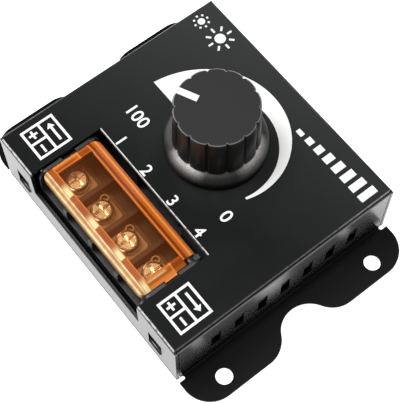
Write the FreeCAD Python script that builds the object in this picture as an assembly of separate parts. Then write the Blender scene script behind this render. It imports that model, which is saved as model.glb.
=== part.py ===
"""LED strip dimmer: folded sheet case, fluted knob on a potentiometer, covered barrier terminal.

Millimetres. X runs across the two mounting flanges, +Y points away from the terminal side,
+Z is up and Z = 0 is the underside. The origin is the bottom centre of the case.
"""
import FreeCAD, Part
import math
import os

V = FreeCAD.Vector
UP = V(0, 0, 1)
ALONG_X = V(1, 0, 0)
ALONG_Y = V(0, 1, 0)
EPS = 1.0

# Case: one folded sheet, a hat section across X
case_width = 65.0
case_depth = 61.0
case_height = 17.7
sheet = 0.8
bend_inner_radius = 0.3
top_bend_radius = 0.7
top_bend_inner_radius = 0.1
corner_seam = 0.25
corner_relief_radius = 0.42

# Flange ears
ear_reach = 9.9
ear_corner_radius = 7.0
ear_shoulder_radius = 6.8
scallop_radius = 6.8
mount_hole_radius = 2.0
mount_hole_inset = 4.0
mount_hole_pitch = 43.6
flange_notch_width = 1.1
flange_notch_depth = 1.8

# Vent slots in both flanged walls
vent_count = 7
vent_pitch = 6.5
vent_width = 2.6
vent_height = 7.1
vent_bottom = 4.6

# Base plate and the lugs that catch in the end walls
plate_clearance = 0.3
plate_corner_radius = 0.8
lug_spread = 25.0
lug_width = 4.2
lug_slot_width = 4.7
lug_slot_bottom = 4.9
lug_slot_height = 5.2
lug_proud = 0.35
lug_gap = 0.1
lug_edge_radius = 0.55

# Circuit board on four standoffs
standoff_height = 3.0
standoff_across_flats = 5.0
standoff_spigot_radius = 2.1
standoff_inset_x = 7.2
standoff_inset_y = 7.4
board_thickness = 1.6
board_edge_clearance = 0.6
board_corner_radius = 1.5
board_screw_radius = 1.5
board_screw_head_radius = 2.7
board_screw_head = 1.7
pan_head_edge = 0.5
pin_clearance = 0.1
pin_protrusion = 0.8
fit_gap = 0.05

# Barrier terminal block
terminal_x = -0.6
terminal_ways = 4
terminal_pitch = 9.5
terminal_end_margin = 0.45
block_front_inset = 0.9
block_depth = 16.4
block_floor = 4.6
block_height = 11.6
block_back_wall = 9.0
end_wall = 0.8
cheek_round = 2.2
back_wall = 1.0
partition = 1.2
partition_height = 8.5
cutout_side_clearance = 0.3
cutout_back_gap = 1.2
front_strip_drop = 1.3

# Contact strips, clamp plates and their screws
strip_thickness = 0.8
strip_width = 7.6
strip_front_inset = 1.6
strip_length = 9.8
strip_tail_width = 3.6
strip_collar_radius = 2.3
strip_collar_height = 1.3
screw_setback = 6.8
screw_shank_radius = 1.45
screw_bore_clearance = 0.1
screw_pocket_clearance = 0.6
screw_pocket_depth = 3.6
screw_shank_length = 4.2
screw_head_radius = 2.7
screw_head_height = 2.2
screw_head_dome = 0.7
screw_slot_width = 0.9
screw_slot_length = 3.9
screw_slot_depth = 1.1
clamp_size = 6.8
clamp_corner_radius = 0.8
clamp_thickness = 0.9
clamp_loop_radius = 1.05
clamp_loop_wall = 0.35
clamp_loop_height = 1.2
clamp_loop_offset = 2.3

# Clear cover over the terminals
cover_end_gap = 0.2
cover_front_inset = 0.45
cover_width = 15.15
cover_skirt = 1.7
cover_rise = 0.9
cover_wall = 0.8
cover_lift = 0.9
cover_corner_radius = 1.6
cover_inner_corner = 0.2
cover_frame_x = 1.9
cover_frame_y = 2.7
peg_radius = 0.65
peg_clearance = 0.08
peg_inset = 1.7
peg_length = 0.8
knuckle_radius = 1.05
knuckle_length = 1.0
knuckle_gap = 0.15
tongue_length = 3.2
tongue_centre = 7.85
tongue_reach = 0.5
tongue_thickness = 0.8
tongue_clearance = 0.25

# Potentiometer under the knob
knob_x = -1.3
knob_y = 7.2
pot_radius = 8.0
pot_depth = 6.5
pot_face_gap = 0.2
pot_edge = 0.6
wafer_width = 15.0
wafer_reach = 3.4
wafer_thickness = 1.2
wafer_drop = 4.6
wafer_corner_radius = 1.0
pot_pin_pitch = 5.0
pot_pin_width = 1.0
pot_pin_thickness = 0.5
bushing_radius = 3.5
bushing_height = 5.4
bushing_hole_clearance = 0.1
bushing_edge = 0.4
shaft_radius = 3.0
shaft_clearance = 0.06
shaft_flat = 1.5
shaft_seat = 2.6
washer_radius = 5.9
washer_thickness = 0.5
nut_across_flats = 10.0
nut_height = 2.0

# Knob
knob_gap = 0.6
knob_height = 15.5
knob_top_radius = 9.7
knob_taper = 0.35
flute_count = 14
flute_depth = 0.4
flute_width = 0.9
lobe_bulge = 0.14
knob_edge = 0.35
skirt_radius = 12.0
skirt_edge = 0.8
skirt_height = 3.3
skirt_overlap = 0.8
knob_cavity_clearance = 1.3
knob_cavity_height = 3.0
knob_bore_clearance = 0.05
knob_crown = 2.2
knob_neck_headroom = 0.5
skirt_steps = 5
pointer_angle = 206.0
pointer_start = 4.5
pointer_width = 1.6
pointer_depth = 0.6

# Power parts on the board, in a front row behind the block and a rear row at the back
front_row_gap = 4.2
rear_row_inset = 5.6
moulded_edge = 0.4
spreader_width = 14.0
spreader_length = 17.0
spreader_height = 2.4
spreader_corner_radius = 0.6
spreader_x = 19.5
spreader_y = 6.6
mosfet_width = 10.2
mosfet_body = 9.2
mosfet_thickness = 4.4
mosfet_tab = 6.2
mosfet_tab_thickness = 1.3
mosfet_lead_pitch = 2.54
mosfet_lead_width = 0.8
mosfet_lead_thickness = 0.5
mosfet_lead_reach = 3.2
tab_screw_radius = 1.5
tab_screw_head_radius = 2.7
tab_screw_head = 1.6
capacitor_radius = 4.0
capacitor_headroom = 1.2
capacitor_edge = 0.5
capacitor_x = 13.5
chip_length = 9.6
chip_width = 6.4
chip_height = 3.3
chip_standoff = 0.5
chip_lead_width = 0.6
chip_lead_pitch = 2.54
chip_side_leads = 4
diode_radius = 2.4
diode_length = 8.6
diode_lead_radius = 0.6
diode_lead_reach = 3.0
diode_x = 12.5
film_length = 9.0
film_width = 4.0
film_height = 7.2
film_x = -13.0
resistor_length = 3.2
resistor_width = 1.6
resistor_height = 0.6
resistor_pitch = 2.6
resistor_count = 4

# Places worked out from the sizes above
half_width = case_width / 2
half_depth = case_depth / 2
inner_top = case_height - sheet
bend_outer_radius = bend_inner_radius + sheet
ear_edge = half_width + ear_reach
wall_foot = sheet + bend_inner_radius
board_bottom = sheet + standoff_height
board_top = board_bottom + board_thickness
board_half_x = half_width - sheet - board_edge_clearance - plate_clearance
board_half_y = half_depth - sheet - lug_gap - sheet - board_edge_clearance
board_hole_x = half_width - standoff_inset_x
board_hole_y = half_depth - standoff_inset_y
block_half = terminal_ways * terminal_pitch / 2 + terminal_end_margin
block_front = -half_depth + sheet + block_front_inset
block_back = block_front + block_depth
floor_top = board_top + block_floor
strip_top = floor_top + strip_thickness
front_strip_height = floor_top - front_strip_drop
strip_front = block_front + strip_front_inset
screw_y = block_front + screw_setback
clamp_bottom = strip_top + fit_gap
clamp_top = clamp_bottom + clamp_thickness
head_bottom = clamp_top + fit_gap
block_top = board_top + block_height
cover_top_edge = block_top
cover_bottom = cover_top_edge - cover_skirt
cover_top = cover_top_edge + cover_rise
cover_half = block_half - end_wall - cover_end_gap
cover_front = block_front + cover_front_inset
cover_back = cover_front + cover_width
peg_y = cover_back - peg_inset
peg_z = (cover_bottom + cover_top_edge) / 2
cutout_back = block_back + cutout_back_gap
cutout_half = block_half + cutout_side_clearance
front_row_y = block_back + front_row_gap
rear_row_y = board_half_y - rear_row_inset
pot_top = inner_top - pot_face_gap
pot_bottom = pot_top - pot_depth
wafer_top = pot_top - wafer_drop
wafer_edge = knob_y - pot_radius - wafer_reach
bushing_top = pot_top + bushing_height + sheet
knob_bottom = case_height + knob_gap
knob_top = knob_bottom + knob_height
shaft_top = knob_top - knob_crown - pin_clearance
neck_top = bushing_top + knob_neck_headroom
skirt_top = knob_bottom + skirt_height
nut_bottom = case_height + washer_thickness
spreader_top = board_top + spreader_height
lead_bottom = board_bottom - pin_protrusion


def box(x0, x1, y0, y1, z0, z1):
    """Return a block between two corners."""
    return Part.makeBox(x1 - x0, y1 - y0, z1 - z0, V(x0, y0, z0))


def post(x, y, z0, z1, radius):
    """Return an upright cylinder."""
    return Part.makeCylinder(radius, z1 - z0, V(x, y, z0), UP)


def rod(x0, x1, y, z, radius):
    """Return a cylinder along X."""
    return Part.makeCylinder(radius, x1 - x0, V(x0, y, z), ALONG_X)


def turned(x, y, points):
    """Return a solid turned round an upright axis from (radius, height) points."""
    outline = Part.makePolygon([V(radius, 0, z) for radius, z in points + points[:1]])
    body = Part.Face(outline).revolve(V(0, 0, 0), UP, 360)
    body.translate(V(x, y, 0))
    return body


def pan_head(x, y, z0, height, radius, soft):
    """Return a round screw head whose upper edge falls away in two steps."""
    z1 = z0 + height
    lean = soft * (1 - math.sqrt(0.5))
    return turned(x, y, [(0, z0), (radius, z0), (radius, z1 - soft), (radius - lean, z1 - lean),
                         (radius - soft, z1), (0, z1)])


def hexagon(x, y, z0, z1, across_flats):
    """Return an upright hexagonal prism."""
    corner = across_flats / math.sqrt(3)
    points = [V(x + corner * math.cos(k * math.pi / 3), y + corner * math.sin(k * math.pi / 3), z0)
              for k in range(7)]
    return Part.Face(Part.makePolygon(points)).extrude(V(0, 0, z1 - z0))


def union(shapes):
    """Return one shape made of touching or overlapping shapes."""
    first, rest = shapes[0], shapes[1:]
    return first.fuse(rest).removeSplitter() if rest else first


def fillet_where(shape, test, radius):
    """Round the edges whose bounding box passes the test."""
    edges = [edge for edge in shape.Edges if test(edge.BoundBox)]
    return shape.makeFillet(radius, edges)


def chamfer_where(shape, test, size):
    """Chamfer the edges whose bounding box passes the test."""
    edges = [edge for edge in shape.Edges if test(edge.BoundBox)]
    return shape.makeChamfer(size, edges)


def upright(bb):
    """Tell whether an edge's box is a vertical line."""
    return bb.XLength < 1e-6 and bb.YLength < 1e-6


def level_at(height):
    """Return a test for edges that lie at one height."""
    return lambda bb: abs(bb.ZMin - height) < 1e-6 and abs(bb.ZMax - height) < 1e-6


def rounded_block(x0, x1, y0, y1, z0, z1, radius):
    """Return a block whose upright edges are round."""
    return fillet_where(box(x0, x1, y0, y1, z0, z1), upright, radius)


def both_sides(shape):
    """Return a shape and its mirror image across the plane X = 0."""
    return [shape, shape.mirror(V(0, 0, 0), ALONG_X)]


def both_ends(shape):
    """Return a shape and its mirror image across the plane Y = 0."""
    return [shape, shape.mirror(V(0, 0, 0), ALONG_Y)]


def terminal_centres():
    """Return the X of each terminal screw."""
    first = terminal_x - (terminal_ways - 1) * terminal_pitch / 2
    return [first + index * terminal_pitch for index in range(terminal_ways)]


def ear_outline():
    """Return the plan of one flange: two round ears with a scallop between them."""
    corner_x = ear_edge - ear_corner_radius
    shoulder_x = ear_edge - ear_shoulder_radius
    reach = scallop_radius + ear_shoulder_radius
    shoulder_y = math.sqrt(reach ** 2 - ear_shoulder_radius ** 2)
    join = scallop_radius / reach
    join_x = ear_edge - ear_shoulder_radius * join
    join_y = shoulder_y * join
    root = half_width - sheet
    diagonal = ear_corner_radius / math.sqrt(2)
    far = half_depth - ear_corner_radius
    bulge = math.atan2(-shoulder_y, ear_shoulder_radius) / 2
    edges = [
        Part.LineSegment(V(root, -half_depth, 0), V(corner_x, -half_depth, 0)),
        Part.Arc(V(corner_x, -half_depth, 0), V(corner_x + diagonal, -far - diagonal, 0),
                 V(ear_edge, -far, 0)),
        Part.LineSegment(V(ear_edge, -far, 0), V(ear_edge, -shoulder_y, 0)),
        Part.Arc(
            V(ear_edge, -shoulder_y, 0),
            V(shoulder_x + ear_shoulder_radius * math.cos(bulge),
              -shoulder_y - ear_shoulder_radius * math.sin(bulge), 0),
            V(join_x, -join_y, 0)),
        Part.Arc(V(join_x, -join_y, 0), V(ear_edge - scallop_radius, 0, 0), V(join_x, join_y, 0)),
        Part.Arc(
            V(join_x, join_y, 0),
            V(shoulder_x + ear_shoulder_radius * math.cos(bulge),
              shoulder_y + ear_shoulder_radius * math.sin(bulge), 0),
            V(ear_edge, shoulder_y, 0)),
        Part.LineSegment(V(ear_edge, shoulder_y, 0), V(ear_edge, far, 0)),
        Part.Arc(V(ear_edge, far, 0), V(corner_x + diagonal, far + diagonal, 0),
                 V(corner_x, half_depth, 0)),
        Part.LineSegment(V(corner_x, half_depth, 0), V(root, half_depth, 0)),
        Part.LineSegment(V(root, half_depth, 0), V(root, -half_depth, 0)),
    ]
    return Part.Wire([edge.toShape() for edge in edges])


def flange():
    """Return the +X flange with its bend, holes and relief notches."""
    centre_x = half_width + bend_inner_radius
    middle = math.sqrt(0.5)
    start = V(half_width - sheet, -half_depth, wall_foot)
    section = [
        Part.Arc(start,
                 V(centre_x - bend_outer_radius * middle, -half_depth,
                   wall_foot - bend_outer_radius * middle),
                 V(centre_x, -half_depth, 0)),
        Part.LineSegment(V(centre_x, -half_depth, 0), V(ear_edge + EPS, -half_depth, 0)),
        Part.LineSegment(V(ear_edge + EPS, -half_depth, 0), V(ear_edge + EPS, -half_depth, sheet)),
        Part.LineSegment(V(ear_edge + EPS, -half_depth, sheet), V(centre_x, -half_depth, sheet)),
        Part.Arc(V(centre_x, -half_depth, sheet),
                 V(centre_x - bend_inner_radius * middle, -half_depth,
                   wall_foot - bend_inner_radius * middle),
                 V(half_width, -half_depth, wall_foot)),
        Part.LineSegment(V(half_width, -half_depth, wall_foot), start),
    ]
    strip = Part.Face(Part.Wire([edge.toShape() for edge in section])).extrude(V(0, case_depth, 0))
    plan = Part.Face(ear_outline()).extrude(V(0, 0, case_height))
    ears = strip.common(plan)
    seam_y = half_depth - sheet
    notch_top = wall_foot + EPS
    notch_round = flange_notch_width / 2
    notch_end = half_depth - flange_notch_depth + notch_round
    cuts = both_ends(box(half_width, half_width + flange_notch_width, notch_end, half_depth + EPS,
                         -EPS, notch_top))
    cuts += both_ends(post(half_width + notch_round, notch_end, -EPS, notch_top, notch_round))
    cuts += both_ends(box(half_width - sheet - EPS, half_width, seam_y - corner_seam, half_depth + EPS,
                          -EPS, notch_top))
    hole_x = ear_edge - mount_hole_inset
    cuts += both_ends(post(hole_x, mount_hole_pitch / 2, -EPS, sheet + EPS, mount_hole_radius))
    return ears.cut(cuts)


def case_shell():
    """Return the folded case: top, two slotted walls with flanges, and two end walls."""
    outer = box(-half_width, half_width, -half_depth, half_depth, 0, case_height)
    outer = fillet_where(outer, level_at(case_height), top_bend_radius)
    inner = box(-half_width + sheet, half_width - sheet, -half_depth + sheet, half_depth - sheet,
                -EPS, inner_top)
    inner = fillet_where(inner, level_at(inner_top), top_bend_inner_radius)
    shell = outer.cut(inner)
    side_span = half_depth - sheet
    foot = box(half_width - sheet, half_width + EPS, -side_span, side_span, -EPS, wall_foot)
    seam = box(half_width - sheet, half_width + EPS, side_span - corner_seam, side_span,
               -EPS, case_height - top_bend_radius)
    shell = shell.cut(both_sides(foot) + both_sides(seam) + both_sides(both_ends(seam)[1]))
    shell = union([shell] + both_sides(flange()))
    return shell.cut(case_openings())


def case_openings():
    """Return everything that is punched out of the case."""
    cuts = []
    relief = post(half_width - corner_relief_radius, half_depth - corner_relief_radius,
                  case_height - top_bend_radius - corner_relief_radius, case_height + EPS,
                  corner_relief_radius)
    for side in both_ends(relief):
        cuts += both_sides(side)
    for index in range(vent_count):
        y = (index - (vent_count - 1) / 2) * vent_pitch
        slot = box(half_width - sheet - EPS, half_width + EPS, y - vent_width / 2, y + vent_width / 2,
                   vent_bottom, vent_bottom + vent_height)
        cuts += both_sides(slot)
    lug_slot = box(lug_spread - lug_slot_width / 2, lug_spread + lug_slot_width / 2,
                   half_depth - sheet - EPS, half_depth + EPS,
                   lug_slot_bottom, lug_slot_bottom + lug_slot_height)
    for end in both_ends(lug_slot):
        cuts += both_sides(end)
    cuts.append(box(terminal_x - cutout_half, terminal_x + cutout_half, -half_depth - EPS, cutout_back,
                    front_strip_height, case_height + EPS))
    cuts.append(post(knob_x, knob_y, inner_top - EPS, case_height + EPS,
                     bushing_radius + bushing_hole_clearance))
    return cuts


def base_plate():
    """Return the plate that closes the underside, with four lugs that catch in the end walls."""
    plate_x = half_width - sheet - plate_clearance
    plate_y = half_depth - sheet - lug_gap
    plate = rounded_block(-plate_x, plate_x, -plate_y, plate_y, 0, sheet, plate_corner_radius)
    tongue_bottom = lug_slot_bottom + lug_gap
    tongue_top = tongue_bottom + sheet
    x0, x1 = lug_spread - lug_width / 2, lug_spread + lug_width / 2
    lug = union([
        box(x0, x1, plate_y - sheet, plate_y, 0, tongue_top),
        box(x0, x1, plate_y - sheet, half_depth + lug_proud, tongue_bottom, tongue_top),
    ])
    crown = level_at(tongue_top)
    lug = fillet_where(lug, lambda bb: crown(bb) and bb.YLength < 1e-6, lug_edge_radius)
    lugs = []
    for end in both_ends(lug):
        lugs += both_sides(end)
    plate = union([plate] + lugs)
    return plate.cut([post(x, y, -EPS, sheet + EPS, standoff_spigot_radius + fit_gap)
                      for x, y in board_corners()])


def board_corners():
    """Return the four standoff places."""
    return [(sx * board_hole_x, sy * board_hole_y) for sx in (-1, 1) for sy in (-1, 1)]


def board_standoffs():
    """Return four hexagonal standoffs clinched into the base plate."""
    parts = []
    for x, y in board_corners():
        body = union([hexagon(x, y, sheet, board_bottom, standoff_across_flats),
                      post(x, y, 0, sheet, standoff_spigot_radius)])
        parts.append(body.cut(post(x, y, sheet, board_bottom + EPS, board_screw_radius + fit_gap)))
    return Part.makeCompound(parts)


def board_screws():
    """Return four pan-head screws that hold the board on its standoffs."""
    parts = []
    for x, y in board_corners():
        head = chamfer_where(post(x, y, board_top, board_top + board_screw_head, board_screw_head_radius),
                             level_at(board_top + board_screw_head), pan_head_edge)
        shank = post(x, y, sheet + pin_protrusion, board_top, board_screw_radius)
        parts.append(union([head, shank]))
    return Part.makeCompound(parts)


def board_pin_holes():
    """Return the slots that leads and tails pass through."""
    gap = pin_clearance
    holes = []
    tail_y = strip_front + strip_length
    for x in terminal_centres():
        holes.append(box(x - strip_tail_width / 2 - gap, x + strip_tail_width / 2 + gap,
                         tail_y - strip_thickness - gap, tail_y + gap, board_bottom - EPS, board_top + EPS))
    for x, y in pot_pin_places():
        holes.append(box(x - pot_pin_width / 2 - gap, x + pot_pin_width / 2 + gap,
                         y - pot_pin_thickness / 2 - gap, y + pot_pin_thickness / 2 + gap,
                         board_bottom - EPS, board_top + EPS))
    for side in (-1, 1):
        for x in mosfet_lead_places(side):
            y = mosfet_front() - mosfet_lead_reach
            holes.append(box(x - mosfet_lead_width / 2 - gap, x + mosfet_lead_width / 2 + gap,
                             y - gap, y + mosfet_lead_thickness + gap, board_bottom - EPS, board_top + EPS))
    for x in diode_lead_places():
        holes.append(post(x, front_row_y, board_bottom - EPS, board_top + EPS, diode_lead_radius + gap))
    return holes


def circuit_board():
    """Return the board with its corner holes and lead slots."""
    board = rounded_block(-board_half_x, board_half_x, -board_half_y, board_half_y, board_bottom, board_top,
                          board_corner_radius)
    corners = [post(x, y, board_bottom - EPS, board_top + EPS, board_screw_radius + pin_clearance)
               for x, y in board_corners()]
    return board.cut(corners + board_pin_holes())


def terminal_body():
    """Return the barrier block: floor, end walls, back wall and partitions in one moulding."""
    left, right = terminal_x - block_half, terminal_x + block_half
    floor = box(left, right, block_front, block_back, board_top, floor_top)
    rear = box(left, right, block_back - back_wall, block_back, floor_top, board_top + block_back_wall)
    solids = [floor, rear]
    for x0 in (left, right - end_wall):
        cheek = box(x0, x0 + end_wall, block_front, block_back, floor_top, block_top)
        crown = level_at(block_top)
        cheek = fillet_where(cheek, lambda bb: crown(bb) and bb.YLength < 1e-6, cheek_round)
        solids.append(cheek)
    for index in range(1, terminal_ways):
        x = left + terminal_end_margin + index * terminal_pitch
        solids.append(box(x - partition / 2, x + partition / 2, block_front, block_back, floor_top,
                          board_top + partition_height))
    knuckle_x = right - end_wall - cover_end_gap - knuckle_length
    solids.append(rod(knuckle_x, right - end_wall, peg_y, peg_z, knuckle_radius))
    solids.append(box(knuckle_x, right - end_wall, peg_y, block_back, peg_z - knuckle_radius, peg_z))
    solids.append(box(knuckle_x, right - end_wall, block_back - back_wall, block_back, floor_top, peg_z))
    body = union(solids)
    cuts = [rod(left - EPS, right + EPS, peg_y, peg_z, peg_radius + peg_clearance)]
    tongue_y = cover_front + tongue_centre
    half = tongue_length / 2 + tongue_clearance
    cuts.append(box(left - EPS, right + EPS, tongue_y - half, tongue_y + half,
                    cover_top_edge - tongue_thickness - tongue_clearance, block_top + EPS))
    tail_y = strip_front + strip_length
    gap = pin_clearance
    for x in terminal_centres():
        cuts.append(post(x, screw_y, floor_top - screw_pocket_depth, floor_top + EPS,
                         strip_collar_radius + screw_pocket_clearance))
        cuts.append(box(x - strip_tail_width / 2 - gap, x + strip_tail_width / 2 + gap,
                        tail_y - strip_thickness - gap, tail_y + gap, board_top - EPS, floor_top + EPS))
    return body.cut(cuts)


def contact_strip(x):
    """Return one brass strip: clamping face, threaded collar and a tail through the board."""
    tail_y = strip_front + strip_length
    face = box(x - strip_width / 2, x + strip_width / 2, strip_front, tail_y, floor_top, strip_top)
    tail = box(x - strip_tail_width / 2, x + strip_tail_width / 2, tail_y - strip_thickness, tail_y,
               lead_bottom, strip_top)
    collar = post(x, screw_y, floor_top - strip_collar_height, floor_top, strip_collar_radius)
    strip = union([face, tail, collar])
    bore = post(x, screw_y, floor_top - strip_collar_height - EPS, strip_top + EPS,
                screw_shank_radius + screw_bore_clearance)
    return strip.cut(bore)


def clamp_plate(x):
    """Return one square wire clamp with the small ring that keeps it from turning."""
    half = clamp_size / 2
    plate = rounded_block(x - half, x + half, screw_y - half, screw_y + half, clamp_bottom, clamp_top,
                          clamp_corner_radius)
    ring_x, ring_y = x - clamp_loop_offset, screw_y + clamp_loop_offset
    ring_top = clamp_top + clamp_loop_height
    ring = post(ring_x, ring_y, clamp_bottom, ring_top, clamp_loop_radius)
    plate = union([plate, ring])
    hollow = post(ring_x, ring_y, clamp_top, ring_top + EPS, clamp_loop_radius - clamp_loop_wall)
    room = post(x, screw_y, head_bottom - fit_gap, ring_top + EPS, screw_head_radius + screw_bore_clearance)
    bore = post(x, screw_y, clamp_bottom - EPS, clamp_top + EPS, screw_shank_radius + screw_bore_clearance)
    return plate.cut([hollow, room, bore])


def terminal_screw(x):
    """Return one pan-head terminal screw with a cross recess."""
    head_top = head_bottom + screw_head_height
    head = pan_head(x, screw_y, head_bottom, screw_head_height, screw_head_radius, screw_head_dome)
    shank = post(x, screw_y, head_bottom - screw_shank_length, head_bottom, screw_shank_radius)
    half_w, half_l = screw_slot_width / 2, screw_slot_length / 2
    slot_z = head_top - screw_slot_depth
    cuts = [box(x - half_w, x + half_w, screw_y - half_l, screw_y + half_l, slot_z, head_top + EPS),
            box(x - half_l, x + half_l, screw_y - half_w, screw_y + half_w, slot_z, head_top + EPS)]
    return union([head, shank]).cut(cuts)


def cover_form(inset, drop, depth_extra):
    """Return the cover's solid outline, pulled in by an inset and lowered by a drop."""
    x0, x1 = terminal_x - cover_half + inset, terminal_x + cover_half - inset
    y0, y1 = cover_front + inset, cover_back - inset
    edge_z, top_z = cover_top_edge - drop, cover_top - drop
    corner = max(cover_corner_radius - inset, cover_inner_corner)
    skirt = rounded_block(x0, x1, y0, y1, cover_bottom - depth_extra, edge_z, corner)
    rim = [face for face in skirt.Faces if level_at(edge_z)(face.BoundBox)][0].OuterWire
    frame_x, frame_y = cover_frame_x - inset / 2, cover_frame_y - inset / 2
    crown = rounded_block(x0 + frame_x, x1 - frame_x, y0 + frame_y, y1 - frame_y, edge_z, top_z, corner / 2)
    lid = [face for face in crown.Faces if level_at(top_z)(face.BoundBox)][0].OuterWire
    slope = Part.makeLoft([rim, lid], True, True)
    return union([skirt, slope])


def terminal_cover():
    """Return the hinged clear cover: a shallow tray with pegs at the back and a tongue at one end."""
    shell = cover_form(0, 0, 0).cut(cover_form(cover_wall, cover_lift, EPS))
    tongue_y = cover_front + tongue_centre
    right = terminal_x + cover_half
    notch_x = right - knuckle_length - knuckle_gap
    notch_front = peg_y - knuckle_radius - knuckle_gap
    shell = shell.cut(box(notch_x, right + EPS, notch_front, cover_back + EPS,
                          cover_bottom - EPS, cover_top + EPS))
    lining = box(notch_x - cover_wall, notch_x, notch_front, cover_back - cover_wall,
                 cover_bottom, cover_top_edge)
    pieces = [shell, lining]
    for sign, root in ((-1, terminal_x - cover_half + cover_wall / 2), (1, notch_x - cover_wall / 2)):
        end = terminal_x + sign * cover_half
        x0, x1 = sorted((root, end + sign * peg_length))
        pieces.append(rod(x0, x1, peg_y, peg_z, peg_radius))
    pieces.append(box(right - cover_wall / 2, right + tongue_reach, tongue_y - tongue_length / 2,
                      tongue_y + tongue_length / 2, cover_top_edge - tongue_thickness, cover_top_edge))
    return union(pieces)


def pot_pin_places():
    """Return the three pin places of the potentiometer."""
    y = wafer_edge + pot_pin_width
    return [(knob_x + step * pot_pin_pitch, y) for step in (-1, 0, 1)]


def potentiometer_body():
    """Return the round case of the potentiometer with its connection wafer."""
    can = post(knob_x, knob_y, pot_bottom, pot_top, pot_radius)
    can = chamfer_where(can, level_at(pot_bottom), pot_edge)
    wafer = rounded_block(knob_x - wafer_width / 2, knob_x + wafer_width / 2, wafer_edge, knob_y,
                          wafer_top - wafer_thickness, wafer_top, wafer_corner_radius)
    hollow = post(knob_x, knob_y, pot_top - shaft_seat, pot_top + EPS, shaft_radius + pin_clearance)
    gap = pin_clearance / 2
    holes = [box(x - pot_pin_width / 2 - gap, x + pot_pin_width / 2 + gap,
                 y - pot_pin_thickness / 2 - gap, y + pot_pin_thickness / 2 + gap,
                 wafer_top - wafer_thickness - EPS, wafer_top + EPS) for x, y in pot_pin_places()]
    return union([can, wafer]).cut([hollow] + holes)


def potentiometer_bushing():
    """Return the threaded neck that passes through the case."""
    neck = post(knob_x, knob_y, pot_top, bushing_top, bushing_radius)
    neck = chamfer_where(neck, level_at(bushing_top), bushing_edge)
    return neck.cut(post(knob_x, knob_y, pot_top - EPS, bushing_top + EPS, shaft_radius + shaft_clearance))


def potentiometer_pins():
    """Return three pins from the wafer down through the board."""
    parts = [box(x - pot_pin_width / 2, x + pot_pin_width / 2,
                 y - pot_pin_thickness / 2, y + pot_pin_thickness / 2,
                 lead_bottom, wafer_top + pin_protrusion) for x, y in pot_pin_places()]
    return Part.makeCompound(parts)


def potentiometer_shaft():
    """Return the shaft, with a flat where the knob grips it."""
    shaft = post(knob_x, knob_y, pot_top - shaft_seat + fit_gap, shaft_top, shaft_radius)
    flat = box(-EPS - shaft_radius, shaft_radius + EPS, shaft_radius - shaft_flat, shaft_radius + EPS,
               bushing_top, shaft_top + EPS)
    flat.Placement = FreeCAD.Placement(V(knob_x, knob_y, 0), FreeCAD.Rotation(UP, pointer_angle - 90))
    return shaft.cut(flat)


def shaft_washer():
    """Return the flat washer on the case under the nut."""
    ring = post(knob_x, knob_y, case_height, nut_bottom, washer_radius)
    return ring.cut(post(knob_x, knob_y, case_height - EPS, nut_bottom + EPS, bushing_radius + fit_gap))


def shaft_nut():
    """Return the hexagon nut on the bushing."""
    nut = hexagon(knob_x, knob_y, nut_bottom, nut_bottom + nut_height, nut_across_flats)
    return nut.cut(post(knob_x, knob_y, nut_bottom - EPS, nut_bottom + nut_height + EPS,
                        bushing_radius + fit_gap))


def lobe_outline(radius, height):
    """Return the fluted outline of the knob at one height, with one flute under the pointer."""
    step = 2 * math.pi / flute_count
    phase = math.radians(pointer_angle) + step / 2
    half_flute = flute_width / 2 / radius
    valley = radius - lobe_bulge
    floor = valley - flute_depth
    edges = []
    for index in range(flute_count):
        middle = phase + index * step
        start, end = middle - step / 2 + half_flute, middle + step / 2 - half_flute
        a = V(knob_x + valley * math.cos(start), knob_y + valley * math.sin(start), height)
        b = V(knob_x + radius * math.cos(middle), knob_y + radius * math.sin(middle), height)
        c = V(knob_x + valley * math.cos(end), knob_y + valley * math.sin(end), height)
        d_angle = end + half_flute
        d = V(knob_x + floor * math.cos(d_angle), knob_y + floor * math.sin(d_angle), height)
        nxt = end + 2 * half_flute
        e = V(knob_x + valley * math.cos(nxt), knob_y + valley * math.sin(nxt), height)
        edges.append(Part.Arc(a, b, c).toShape())
        edges.append(Part.LineSegment(c, d).toShape())
        edges.append(Part.LineSegment(d, e).toShape())
    return Part.Wire(edges)


def knob_blank():
    """Return the knob's outer form: fluted body with a soft top edge, on a domed skirt."""
    grip_bottom = knob_bottom + skirt_edge
    grip = Part.makeLoft([lobe_outline(knob_top_radius + knob_taper, grip_bottom),
                          lobe_outline(knob_top_radius, knob_top - knob_edge),
                          lobe_outline(knob_top_radius - knob_edge, knob_top)], True, True)
    root = knob_top_radius - skirt_overlap
    reach, rise = skirt_radius - root, skirt_height - skirt_edge
    turns = [step * math.pi / 2 / skirt_steps for step in range(skirt_steps + 1)]
    dome = [(root + reach * math.cos(turn), grip_bottom + rise * math.sin(turn)) for turn in turns]
    skirt = turned(knob_x, knob_y, [(0, knob_bottom), (skirt_radius, knob_bottom)] + dome + [(0, skirt_top)])
    return union([grip, skirt])


def pointer_blank():
    """Return the bar that the pointer and its groove share, before it is trimmed."""
    bar = box(pointer_start, skirt_radius, -pointer_width / 2, pointer_width / 2,
              knob_top - pointer_depth, knob_top + EPS)
    bar.Placement = FreeCAD.Placement(V(knob_x, knob_y, 0), FreeCAD.Rotation(UP, pointer_angle))
    return bar


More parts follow.
